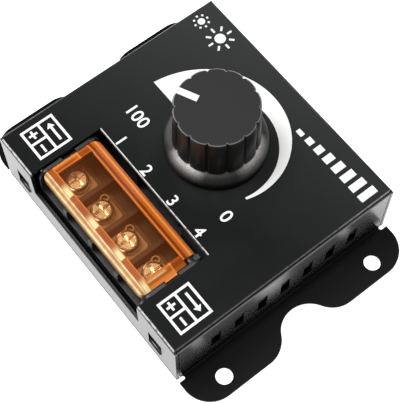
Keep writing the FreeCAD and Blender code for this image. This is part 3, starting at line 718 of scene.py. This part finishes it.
    def side_colour(self, shader: Shader, depth: Term, along: Term, glow: float) -> Term:
        """Return a side band's painted light, with a painted bright line across it.

        Args:
            shader: The shader that it is for.
            depth: The distance from the band's outer edge.
            along: The point's Y.
            glow: How strongly the part before the line gets a painted glint; a dull one gets painted shade
                instead.

        Returns:
            The colour of the band.
        """
        ground = self.side_least + depth.eased(*self.side_rise) * (1 - self.side_least)
        colour = shader.blend(ground, self.lit, self.warm)
        before = self.stripe(along, self.side_before, self.side_before_soft)
        dull = before * depth.eased(*self.side_dull_rise) * (self.side_dull - glow)
        colour = shader.blend(dull, colour, self.deep)
        glint = before * self.stripe(depth, self.side_glint, self.side_glint_soft)
        colour = shader.blend(glint * glow, colour, self.pale)
        lip = self.stripe(depth, self.side_lip, self.crisp) * self.side_lip_share
        colour = shader.blend(lip, colour, self.lit)
        past = along.eased(self.cheek, self.cheek + self.side_past) * self.side_past_share
        colour = shader.blend(past, colour, self.deep)
        return shader.blend(self.stripe(along, self.side_cross) * self.side_cross_share, colour, self.lit)

    def surface(self, shader: Shader) -> Term:
        """Return clear tint mixed with a glossy amber body, denser in the bands.

        Args:
            shader: The shader that it is for.

        Returns:
            The mixed shader's output.
        """
        across, along, _ = shader.axes()
        front, back = along - self.front, self.back - along
        left, right = across - self.left, self.right - across
        in_front, in_back = front.below(self.band_front), back.below(self.band_back)
        at_left, at_right = left.below(self.band_left), right.below(self.band_right)
        framed = in_front.most(in_back).most(at_left).most(at_right)
        deeper = along.eased(self.front + self.lid_inset[0], self.back - self.lid_inset[1])
        lid = shader.blend(deeper, self.shade(shader), self.lid_back)
        # The bands' colours are painted light: highlights, glints and shade of light bent through the
        # cover's walls.
        colour = shader.blend(at_left, lid, self.side_colour(shader, left, along, self.glow_left))
        colour = shader.blend(at_right, colour, self.side_colour(shader, right, along, self.glow_right))
        colour = shader.blend(in_back, colour, self.back_colour(shader, back))
        colour = shader.blend(in_front, colour, self.front_colour(shader, front, across))
        clear = shader.add("ShaderNodeBsdfTransparent", inputs={"Color": self.tint})
        body = shader.add("ShaderNodeBsdfPrincipled", inputs={
            "Base Color": colour,
            "Roughness": self.gloss(shader),
            "Normal": shader.bump(self.height(shader), self.relief),
            "Specular IOR Level": self.specular,
        })
        share = self.lid_share + framed * (self.band_share - self.lid_share)
        return shader.add("ShaderNodeMixShader", inputs={0: share, 1: clear, 2: body})


COAT = PowderCoat("coat_black", (0.01, 0.0108, 0.0105), 0.42, relief=0.0006 * MM, specular=0.0, coat=1.0,
                  coat_roughness=0.25)
GRIP = GripPlastic("grip_black", (0.011, 0.0105, 0.01), 0.3, specular=0.35, grain=0.3 * MM,
                   relief=0.003 * MM)
INK = Finish("ink_white", (0.93, 0.93, 0.92), 0.5, grain=0.2 * MM, relief=0.003 * MM, drift=0.03)
NYLON = Finish("nylon_black", (0.012, 0.012, 0.0125), 0.38, grain=0.6 * MM, relief=0.005 * MM)
AMBER = AmberClear("amber_clear", (0.66, 0.2, 0.075), 0.14, specular=0.05, grain=2 * MM, relief=0.006 * MM,
                   drift=0.08)
NICKEL = DrawnMetal("nickel_plate", (0.82, 0.78, 0.73), 0.28, relief=0.003 * MM)
BRASS = DrawnMetal("brass_bare", (0.78, 0.57, 0.27), 0.26, grain=0.5 * MM, relief=0.003 * MM)
TURNED = DrawnMetal("turned_alloy", (0.76, 0.76, 0.77), 0.3, along=(1.0, 1.0, 14.0))
MILLED = DrawnMetal("milled_alloy", (0.72, 0.72, 0.74), 0.36, along=(12.0, 1.0, 1.0), relief=0.006 * MM)
PRESSED = DrawnMetal("pressed_can", (0.56, 0.55, 0.53), 0.34, along=(2.0, 2.0, 8.0))
TINNED = DrawnMetal("tinned_lead", (0.7, 0.7, 0.69), 0.3, along=(6.0, 6.0, 1.0), relief=0.002 * MM)
MASK = Laminate("board_mask", (0.004, 0.005, 0.005), 0.45, relief=0.03 * MM)
EPOXY = Finish("epoxy_black", (0.02, 0.02, 0.021), 0.6, grain=0.25 * MM, relief=0.006 * MM)
SLEEVE = CanSleeve("can_sleeve", (0.012, 0.018, 0.045), 0.35, relief=0.003 * MM)
FILM = Finish("film_box", (0.014, 0.015, 0.019), 0.4, grain=1.5 * MM, relief=0.01 * MM)
# Contact strips and clamp plates are far darker than tinned or zinc plated metal: painted shade for how dim
# they lie under the cover.
STRIP = DrawnMetal("strip_tinned_painted_shade", (0.075, 0.06, 0.046), 0.45, grain=0.5 * MM, relief=0.003 * MM)
CLAMP = DrawnMetal("clamp_plate_zinc", (0.2, 0.16, 0.12), 0.45, relief=0.003 * MM)
GLAZE = Finish("chip_glaze", (0.03, 0.03, 0.032), 0.22, grain=0.3 * MM, relief=0.002 * MM)


@cache
def material_of(finish: Finish) -> bpy.types.Material:
    """Return a finish's material, made the first time it is asked for."""
    return finish.make()


def dress(name: str, finish: Finish, ease: Optional[Ease] = Ease.CRISP) -> None:
    """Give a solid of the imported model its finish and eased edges.

    Args:
        name: The node's name.
        finish: Its finish.
        ease: How round its edges are, or None to leave them sharp.
    """
    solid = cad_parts[name]
    material = material_of(finish)
    for holder in solid.material_slots:
        holder.material = material
    if ease:
        weld = solid.modifiers.new("weld", "WELD")
        weld.merge_threshold = WELD_REACH
        bevel = solid.modifiers.new("ease", "BEVEL")
        bevel.width = ease.value
        bevel.segments = BEVEL_STEPS
        bevel.limit_method = "ANGLE"
        bevel.angle_limit = BEVEL_FROM
        bevel.harden_normals = True
    log.info("%s: %s, %d faces", name, finish.name, len(solid.data.polygons))


def add_piece(name: str, mesh: bpy.types.Mesh, body: str, finish: Finish) -> bpy.types.Object:
    """Add a new piece of the object.

    Args:
        name: The piece's name.
        mesh: Its mesh, already in place.
        body: The body that it moves with.
        finish: Its finish.

    Returns:
        The new object.
    """
    mesh.materials.clear()
    mesh.materials.append(material_of(finish))
    piece = bpy.data.objects.new(name, mesh)
    bpy.context.scene.collection.objects.link(piece)
    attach(piece, body)
    log.info("%s on %s: %s, %d faces", name, body, finish.name, len(mesh.polygons))
    return piece


@dataclass
class InkLayer:
    """Flat printed shapes gathered into one mesh, a fixed height thick."""

    bottom: float
    top: float
    mesh: bmesh.types.BMesh = field(default_factory=bmesh.new)

    def outline(self, points: Sequence[Point]) -> None:
        """Add a solid with one convex outline.

        Args:
            points: Its corners, counterclockwise from above.
        """
        low = [self.mesh.verts.new((x, y, self.bottom)) for x, y in points]
        high = [self.mesh.verts.new((x, y, self.top)) for x, y in points]
        self.mesh.faces.new(high)
        self.mesh.faces.new(low[::-1])
        self.wall(low, high)

    def wall(self, low: Sequence[bmesh.types.BMVert], high: Sequence[bmesh.types.BMVert]) -> None:
        """Close the side between two loops of corners.

        Args:
            low: The lower loop.
            high: The upper loop, with as many corners.
        """
        count = len(low)
        for index in range(count):
            nxt = (index + 1) % count
            self.mesh.faces.new((low[index], low[nxt], high[nxt], high[index]))

    def strip(self, outer: Sequence[Point], inner: Sequence[Point]) -> None:
        """Add a solid between two lines of points.

        Args:
            outer: One edge, counterclockwise.
            inner: The other edge, with as many points, the same way round.
        """
        rows = [[self.mesh.verts.new((x, y, z)) for x, y in line]
                for line in (outer, inner) for z in (self.bottom, self.top)]
        outer_low, outer_high, inner_low, inner_high = rows
        for index in range(len(outer) - 1):
            nxt = index + 1
            self.mesh.faces.new((outer_high[index], outer_high[nxt], inner_high[nxt], inner_high[index]))
            self.mesh.faces.new((inner_low[index], inner_low[nxt], outer_low[nxt], outer_low[index]))
        self.wall(outer_low + inner_low[::-1], outer_high + inner_high[::-1])

    def grid(self, xs: Sequence[float], ys: Sequence[float], filled: Sequence[str]) -> None:
        """Add a solid of rectangles that share their corners.

        Args:
            xs: The upright lines' X, rising.
            ys: The level lines' Y, rising.
            filled: One word for each row, from the lowest Y, with # for a filled cell.
        """
        high = [[self.mesh.verts.new((x, y, self.top)) for x in xs] for y in ys]
        low = [[self.mesh.verts.new((x, y, self.bottom)) for x in xs] for y in ys]
        size_x, size_y = len(xs) - 1, len(ys) - 1

        def full(column: int, row: int) -> bool:
            """Tell whether a cell is filled."""
            return 0 <= column < size_x and 0 <= row < size_y and filled[row][column] == "#"

        for row in range(size_y):
            for column in range(size_x):
                if not full(column, row):
                    continue
                corners = [(column, row), (column + 1, row), (column + 1, row + 1), (column, row + 1)]
                self.mesh.faces.new([high[j][i] for i, j in corners])
                self.mesh.faces.new([low[j][i] for i, j in reversed(corners)])
                beside = [(column, row - 1), (column + 1, row), (column, row + 1), (column - 1, row)]
                for index, (i, j) in enumerate(beside):
                    if not full(i, j):
                        a, b = corners[index], corners[(index + 1) % len(corners)]
                        lower = [low[a[1]][a[0]], low[b[1]][b[0]]]
                        self.mesh.faces.new((*lower, high[b[1]][b[0]], high[a[1]][a[0]]))

    def done(self, name: str) -> bpy.types.Mesh:
        """Return the gathered shapes as one mesh.

        Args:
            name: The mesh's name.

        Returns:
            The mesh, without corners that no face uses.
        """
        loose = [vert for vert in self.mesh.verts if not vert.link_faces]
        bmesh.ops.delete(self.mesh, geom=loose, context="VERTS")
        made = bpy.data.meshes.new(name)
        self.mesh.to_mesh(made)
        self.mesh.free()
        return made


def circle(centre: Point, radius: float, count: int) -> list[Point]:
    """Return points round a circle.

    Args:
        centre: The circle's middle.
        radius: Its radius.
        count: How many points it gets.

    Returns:
        The points, counterclockwise.
    """
    turns = [2 * math.pi * step / count for step in range(count)]
    return [(centre[0] + radius * math.cos(turn), centre[1] + radius * math.sin(turn)) for turn in turns]


@dataclass(frozen=True)
class Sun:
    """A lamp sign: a disc with rays round it."""

    centre: Point
    disc: float
    near: float
    far: float


@dataclass
class TopPrint:
    """White marks on the case's top."""

    thickness: float = 0.04 * MM
    sunk: float = 0.01 * MM
    stroke: float = 0.6 * MM
    ramp_inner_centre: Point = (-0.26 * MM, 6.65 * MM)
    ramp_inner_radius: float = 13.99 * MM
    ramp_inner_span: Span = (-12.3, 183.9)
    ramp_outer_centre: Point = (-1.4 * MM, 7.5 * MM)
    ramp_outer_curve: Cubic = (8.586, -8.266, 5.05, 15.836)
    ramp_outer_span: Span = (-14.4, 184.9)
    ramp_steps: int = 72
    numeral_steps: int = 6
    numeral_weight: float = 0.012
    numeral_raw_depth: float = 0.5
    low_mark: Point = (14.4 * MM, -2.4 * MM)
    full_mark: Point = (-17.3 * MM, -2.6 * MM)
    dial_height: float = 3.2 * MM
    way_centre: float = -0.6 * MM
    way_line: float = -9.3 * MM
    way_height: float = 2.9 * MM
    bars: int = 8
    bars_from: float = 7.6 * MM
    bars_to: float = 31.4 * MM
    bars_base: float = 23.1 * MM
    bars_low: float = 1.2 * MM
    bars_high: float = 4.6 * MM
    bar_share: float = 0.62
    sun_dim: Sun = Sun((-28.9 * MM, 24.7 * MM), 0.9 * MM, 1.5 * MM, 2.0 * MM)
    sun_bright: Sun = Sun((-22.4 * MM, 25.2 * MM), 1.35 * MM, 2.1 * MM, 3.4 * MM)
    sun_steps: int = 28
    rays: int = 8
    ray_share: float = 0.42
    out_box: Box = (-30.35 * MM, -26.45 * MM, -21.95 * MM, -17.7 * MM)
    in_box: Box = (21.3 * MM, -26.9 * MM, 29.8 * MM, -18.3 * MM)
    box_split: float = 0.53
    arrow_half: float = 2.6 * MM
    arrow_head: float = 1.3 * MM
    arrow_spread: float = 1.0 * MM
    arrow_thick: float = 0.3 * MM
    sign_reach: float = 1.1 * MM
    sign_thick: float = 0.27 * MM

    def layer(self) -> InkLayer:
        """Return an empty ink layer on the top face."""
        return InkLayer(TOP - self.sunk, TOP + self.thickness)

    def build(self) -> None:
        """Build every mark."""
        self.build_ramp()
        self.build_numeral("dial_zero", "0", self.low_mark, self.dial_height)
        self.build_numeral("dial_full", "100", self.full_mark, self.dial_height)
        for way in range(WAYS):
            x = self.way_centre + (way - (WAYS - 1) / 2) * WAY_PITCH
            name = "way_number_%d" % (way + 1)
            self.build_numeral(name, str(way + 1), (x, self.way_line), self.way_height)
        self.build_bars()
        self.build_sun("sun_dim", self.sun_dim)
        self.build_sun("sun_bright", self.sun_bright)
        self.build_box("terminal_box_out", self.out_box, Flow.OUT)
        self.build_box("terminal_box_in", self.in_box, Flow.IN)

    def on_arc(self, centre: Point, radius: float, span: Span, share: float) -> Point:
        """Return the point a share of the way along an arc, whose span is in degrees."""
        turn = math.radians(span[0] + share * (span[1] - span[0]))
        return centre[0] + radius * math.cos(turn), centre[1] + radius * math.sin(turn)

    def build_ramp(self) -> None:
        """Build the crescent that widens from low to full."""
        outer, inner = [], []
        cubic, square, linear, start = self.ramp_outer_curve
        for step in range(self.ramp_steps + 1):
            t = step / self.ramp_steps
            radius = (((cubic * t + square) * t + linear) * t + start) * MM
            outer.append(self.on_arc(self.ramp_outer_centre, radius, self.ramp_outer_span, t))
            radius = self.ramp_inner_radius
            inner.append(self.on_arc(self.ramp_inner_centre, radius, self.ramp_inner_span, t))
        layer = self.layer()
        layer.strip(outer, inner)
        add_piece("dial_ramp", layer.done("dial_ramp"), "case", INK)

    def build_numeral(self, name: str, text: str, centre: Point, height: float) -> None:
        """Build a plain number.

        Args:
            name: The piece's name.
            text: Its digits.
            centre: Where its middle is.
            height: How tall it is.
        """
        line = bpy.data.curves.new(name + "_line", "FONT")
        line.body = text
        line.extrude = self.numeral_raw_depth
        line.resolution_u = self.numeral_steps
        line.offset = self.numeral_weight
        writer = bpy.data.objects.new(name + "_writer", line)
        bpy.context.scene.collection.objects.link(writer)
        view = bpy.context.evaluated_depsgraph_get()
        mesh = bpy.data.meshes.new_from_object(writer.evaluated_get(view))
        bpy.data.objects.remove(writer)
        corners = [vert.co for vert in mesh.vertices]
        low = Vector(min(co[axis] for co in corners) for axis in range(3))
        high = Vector(max(co[axis] for co in corners) for axis in range(3))
        scale = height / (high.y - low.y)
        deep = (self.thickness + self.sunk) / (high.z - low.z)
        mesh.transform(Matrix.Translation((*centre, TOP + (self.thickness - self.sunk) / 2))
                       @ Matrix.Diagonal((scale, scale, deep, 1.0))
                       @ Matrix.Translation(-(low + high) / 2))
        add_piece(name, mesh, "case", INK)

    def build_bars(self) -> None:
        """Build the row of rising bars."""
        layer = self.layer()
        pitch = (self.bars_to - self.bars_from) / self.bars
        for index in range(self.bars):
            x = self.bars_from + index * pitch
            rise = (self.bars_high - self.bars_low) * index / (self.bars - 1)
            y = self.bars_base + self.bars_low + rise
            wide = pitch * self.bar_share
            layer.outline([(x, self.bars_base), (x + wide, self.bars_base), (x + wide, y), (x, y)])
        add_piece("level_bars", layer.done("level_bars"), "case", INK)

    def build_sun(self, name: str, sun: Sun) -> None:
        """Build a lamp sign.

        Args:
            name: The piece's name.
            sun: Its place and sizes.
        """
        layer = self.layer()
        layer.outline(circle(sun.centre, sun.disc, self.sun_steps))
        middle = Vector(sun.centre)
        for ray in range(self.rays):
            turn = 2 * math.pi * ray / self.rays
            ahead = Vector((math.cos(turn), math.sin(turn)))
            aside = Vector((-math.sin(turn), math.cos(turn))) * self.stroke * self.ray_share
            corners = [middle + ahead * sun.near - aside, middle + ahead * sun.far - aside,
                       middle + ahead * sun.far + aside, middle + ahead * sun.near + aside]
            layer.outline([tuple(corner) for corner in corners])
        add_piece(name, layer.done(name), "case", INK)

    def build_box(self, name: str, box: Box, flow: Flow) -> None:
        """Build a three-cell box with an arrow above a plus and a minus.

        Args:
            name: The piece's name.
            box: Its lowest X and Y and its highest X and Y.
            flow: Which way the arrow points.
        """
        x0, y0, x1, y1 = box
        wide = self.stroke
        middle_x, split_y = (x0 + x1) / 2, y0 + (y1 - y0) * self.box_split
        layer = self.layer()
        layer.grid([x0, x0 + wide, middle_x - wide / 2, middle_x + wide / 2, x1 - wide, x1],
                   [y0, y0 + wide, split_y - wide / 2, split_y + wide / 2, y1 - wide, y1],
                   ["#####", "#.#.#", "#####", "#...#", "#####"])
        self.arrow(layer, (middle_x, (split_y + y1) / 2), flow)
        sign_y = (y0 + split_y) / 2
        self.sign(layer, ((x0 + middle_x) / 2, sign_y), True)
        self.sign(layer, ((middle_x + x1) / 2, sign_y), False)
        add_piece(name, layer.done(name), "case", INK)

    def arrow(self, layer: InkLayer, centre: Point, flow: Flow) -> None:
        """Add an arrow that lies along X.

        Args:
            layer: The layer that it goes into.
            centre: Its middle.
            flow: Which way it points.
        """
        x, y = centre
        way, half, thick, spread = flow.value, self.arrow_half, self.arrow_thick, self.arrow_spread
        tail, neck, tip = x - way * half, x + way * (half - self.arrow_head), x + way * half
        low, high = sorted((tail, neck))
        layer.outline([(low, y - thick), (high, y - thick), (high, y + thick), (low, y + thick)])
        corners = [(neck, y - spread), (tip, y), (neck, y + spread)]
        layer.outline(corners if way > 0 else corners[::-1])

    def sign(self, layer: InkLayer, centre: Point, plus: bool) -> None:
        """Add a plus or a minus sign.

        Args:
            layer: The layer that it goes into.
            centre: Its middle.
            plus: Whether it is a plus.
        """
        x, y = centre
        reach, thick = self.sign_reach, self.sign_thick
        xs = [x - reach, x - thick, x + thick, x + reach]
        ys = [y - reach, y - thick, y + thick, y + reach]
        layer.grid(xs, ys, [".#.", "###", ".#."] if plus else ["...", "###", "..."])


class FoldedCase:
    """The folded case, its base plate and the board's fixings."""

    def dress(self) -> None:
        """Finish the case and what is fixed to its plate."""
        dress("case_shell", COAT, Ease.SOFT)
        dress("base_plate", COAT, Ease.LIGHT)
        dress("board_standoffs", BRASS)
        dress("board_screws", NICKEL)


class DimmerKnob:
    """The knob and everything on its axis."""

    def dress(self) -> None:
        """Finish the knob, its pointer and the potentiometer."""
        dress("knob", GRIP, Ease.SOFT)
        dress("knob_pointer", INK, None)
        dress("potentiometer_shaft", TURNED)
        dress("potentiometer_bushing", BRASS)
        dress("potentiometer_body", PRESSED)
        dress("potentiometer_pins", TINNED)
        dress("shaft_washer", NICKEL)
        dress("shaft_nut", NICKEL, Ease.LIGHT)


class TerminalStrip:
    """The barrier block, its four ways and the hinged cover."""

    def dress(self) -> None:
        """Finish the block, the metal in it and the cover."""
        dress("terminal_body", NYLON, Ease.LIGHT)
        for way in range(1, WAYS + 1):
            dress("contact_strip_%d" % way, STRIP)
            dress("clamp_plate_%d" % way, CLAMP, Ease.LIGHT)
            dress("terminal_screw_%d" % way, NICKEL, Ease.LIGHT)
        dress("terminal_cover", AMBER, Ease.SOFT)


@dataclass
class Electronics:
    """The circuit board and what is soldered on it."""

    sides: int = 2

    def dress(self) -> None:
        """Finish the board and its components."""
        dress("circuit_board", MASK)
        for side in range(1, self.sides + 1):
            dress("mosfet_%d" % side, EPOXY)
            dress("heat_spreader_%d" % side, MILLED)
            dress("smoothing_capacitor_%d" % side, SLEEVE)
        dress("spreader_screws", NICKEL)
        dress("control_chip", EPOXY)
        dress("flyback_diode", EPOXY)
        dress("film_capacitor", FILM)
        dress("chip_resistors", GLAZE)


@dataclass(frozen=True)
class SoftBox:
    """A rectangular lamp that faces a point on the object."""

    name: str
    place: Triple
    width: float
    height: float
    watts: float

    def build(self, aim: Vector) -> None:
        """Hang the lamp.

        Args:
            aim: The point that it faces.
        """
        lamp = bpy.data.lights.new(self.name, "AREA")
        lamp.shape = "RECTANGLE"
        lamp.size = self.width
        lamp.size_y = self.height
        lamp.energy = self.watts
        holder = bpy.data.objects.new(self.name, lamp)
        holder.location = self.place
        holder.rotation_mode = "QUATERNION"
        holder.rotation_quaternion = (aim - holder.location).to_track_quat("-Z", "Y")
        bpy.context.scene.collection.objects.link(holder)


@dataclass
class Studio:
    """A pale floor, soft light and the camera."""

    floor_half: float = 2.5
    floor_white: float = 0.8
    floor_lift: float = 0.95
    floor_gap: float = 0.2 * MM
    sky: float = 0.08
    sky_seen: float = 1.0
    aim: Triple = (1.448 * MM, 0.432 * MM, 0.0)
    azimuth: float = 51.845
    elevation: float = 64.743
    distance: float = 270.48 * MM
    lens: float = 102.07
    clip_from: float = 10 * MM
    lamps: tuple[SoftBox, ...] = (
        SoftBox("lamp_front", (-0.4, -0.27, 1.1), 0.5, 0.45, 10.0),
        SoftBox("lamp_side", (0.0, 0.33, 1.15), 0.24, 0.36, 3.5),
        SoftBox("lamp_rim", (0.12, -0.1, 1.19), 0.26, 0.26, 2.2),
        SoftBox("lamp_back", (-0.4, 0.9, 0.7), 0.3, 0.3, 1.5),
        SoftBox("lamp_low", (-1.1, -0.25, 0.35), 0.6, 0.35, 3.0),
    )

    def build(self) -> None:
        """Set up everything around the object."""
        self.build_floor()
        self.build_sky()
        for lamp in self.lamps:
            lamp.build(Vector(self.aim))
        self.build_camera()
        bpy.context.scene.view_settings.view_transform = "Standard"

    def seen(self, shader: Shader) -> Term:
        """Return which rays see the floor lit.

        Args:
            shader: The shader that it is for.

        Returns:
            1 for rays of the camera, mirrors and clear pieces, else 0.
        """
        path = shader.add("ShaderNodeLightPath").socket.node
        rays = [Term(shader, path.outputs[name])
                for name in ("Is Camera Ray", "Is Glossy Ray", "Is Transmission Ray")]
        return rays[0].most(rays[1]).most(rays[2])

    def build_floor(self) -> None:
        """Lay a white floor that keeps the object's shadow."""
        shader = Shader("floor_white")
        matt = shader.add("ShaderNodeBsdfDiffuse", inputs={"Color": (self.floor_white,) * 3})
        strength = self.seen(shader) * self.floor_lift
        lift = shader.add("ShaderNodeEmission", inputs={"Color": WHITE, "Strength": strength})
        material = shader.close(shader.add("ShaderNodeAddShader", inputs={0: matt, 1: lift}))
        half = self.floor_half
        mesh = bpy.data.meshes.new("floor")
        corners = [(-half, -half, 0), (half, -half, 0), (half, half, 0), (-half, half, 0)]
        mesh.from_pydata(corners, [], [range(len(corners))])
        mesh.materials.append(material)
        floor = bpy.data.objects.new("floor", mesh)
        floor.location.z = -self.floor_gap
        bpy.context.scene.collection.objects.link(floor)

    def build_sky(self) -> None:
        """Fill the world with even light, white where it is seen."""
        world = bpy.data.worlds.new("studio")
        world.use_nodes = True
        nodes, links = world.node_tree.nodes, world.node_tree.links
        nodes.clear()
        path = nodes.new("ShaderNodeLightPath")
        back = nodes.new("ShaderNodeBackground")
        span = nodes.new("ShaderNodeMapRange")
        span.inputs["To Min"].default_value = self.sky
        span.inputs["To Max"].default_value = self.sky_seen
        output = nodes.new("ShaderNodeOutputWorld")
        links.new(path.outputs["Is Camera Ray"], span.inputs["Value"])
        links.new(span.outputs[0], back.inputs["Strength"])
        links.new(back.outputs[0], output.inputs["Surface"])
        back.inputs["Color"].default_value = (*WHITE, 1.0)
        bpy.context.scene.world = world

    def build_camera(self) -> None:
        """Put the camera where the photograph was taken from."""
        lens = bpy.data.cameras.new("camera")
        lens.lens = self.lens
        lens.clip_start = self.clip_from
        turn, rise = math.radians(self.azimuth), math.radians(self.elevation)
        back = Vector((math.sin(turn) * math.cos(rise), -math.cos(turn) * math.cos(rise), math.sin(rise)))
        camera = bpy.data.objects.new("camera", lens)
        camera.location = Vector(self.aim) + back * self.distance
        camera.rotation_mode = "QUATERNION"
        camera.rotation_quaternion = (-back).to_track_quat("-Z", "Y")
        bpy.context.scene.collection.objects.link(camera)
        bpy.context.scene.camera = camera


def main() -> None:
    """Dress the solids, print the marks and set up the studio."""
    logging.basicConfig(level=logging.INFO, format="%(message)s")
    FoldedCase().dress()
    DimmerKnob().dress()
    TerminalStrip().dress()
    Electronics().dress()
    TopPrint().build()
    Studio().build()


if __name__ == "__main__":
    main()
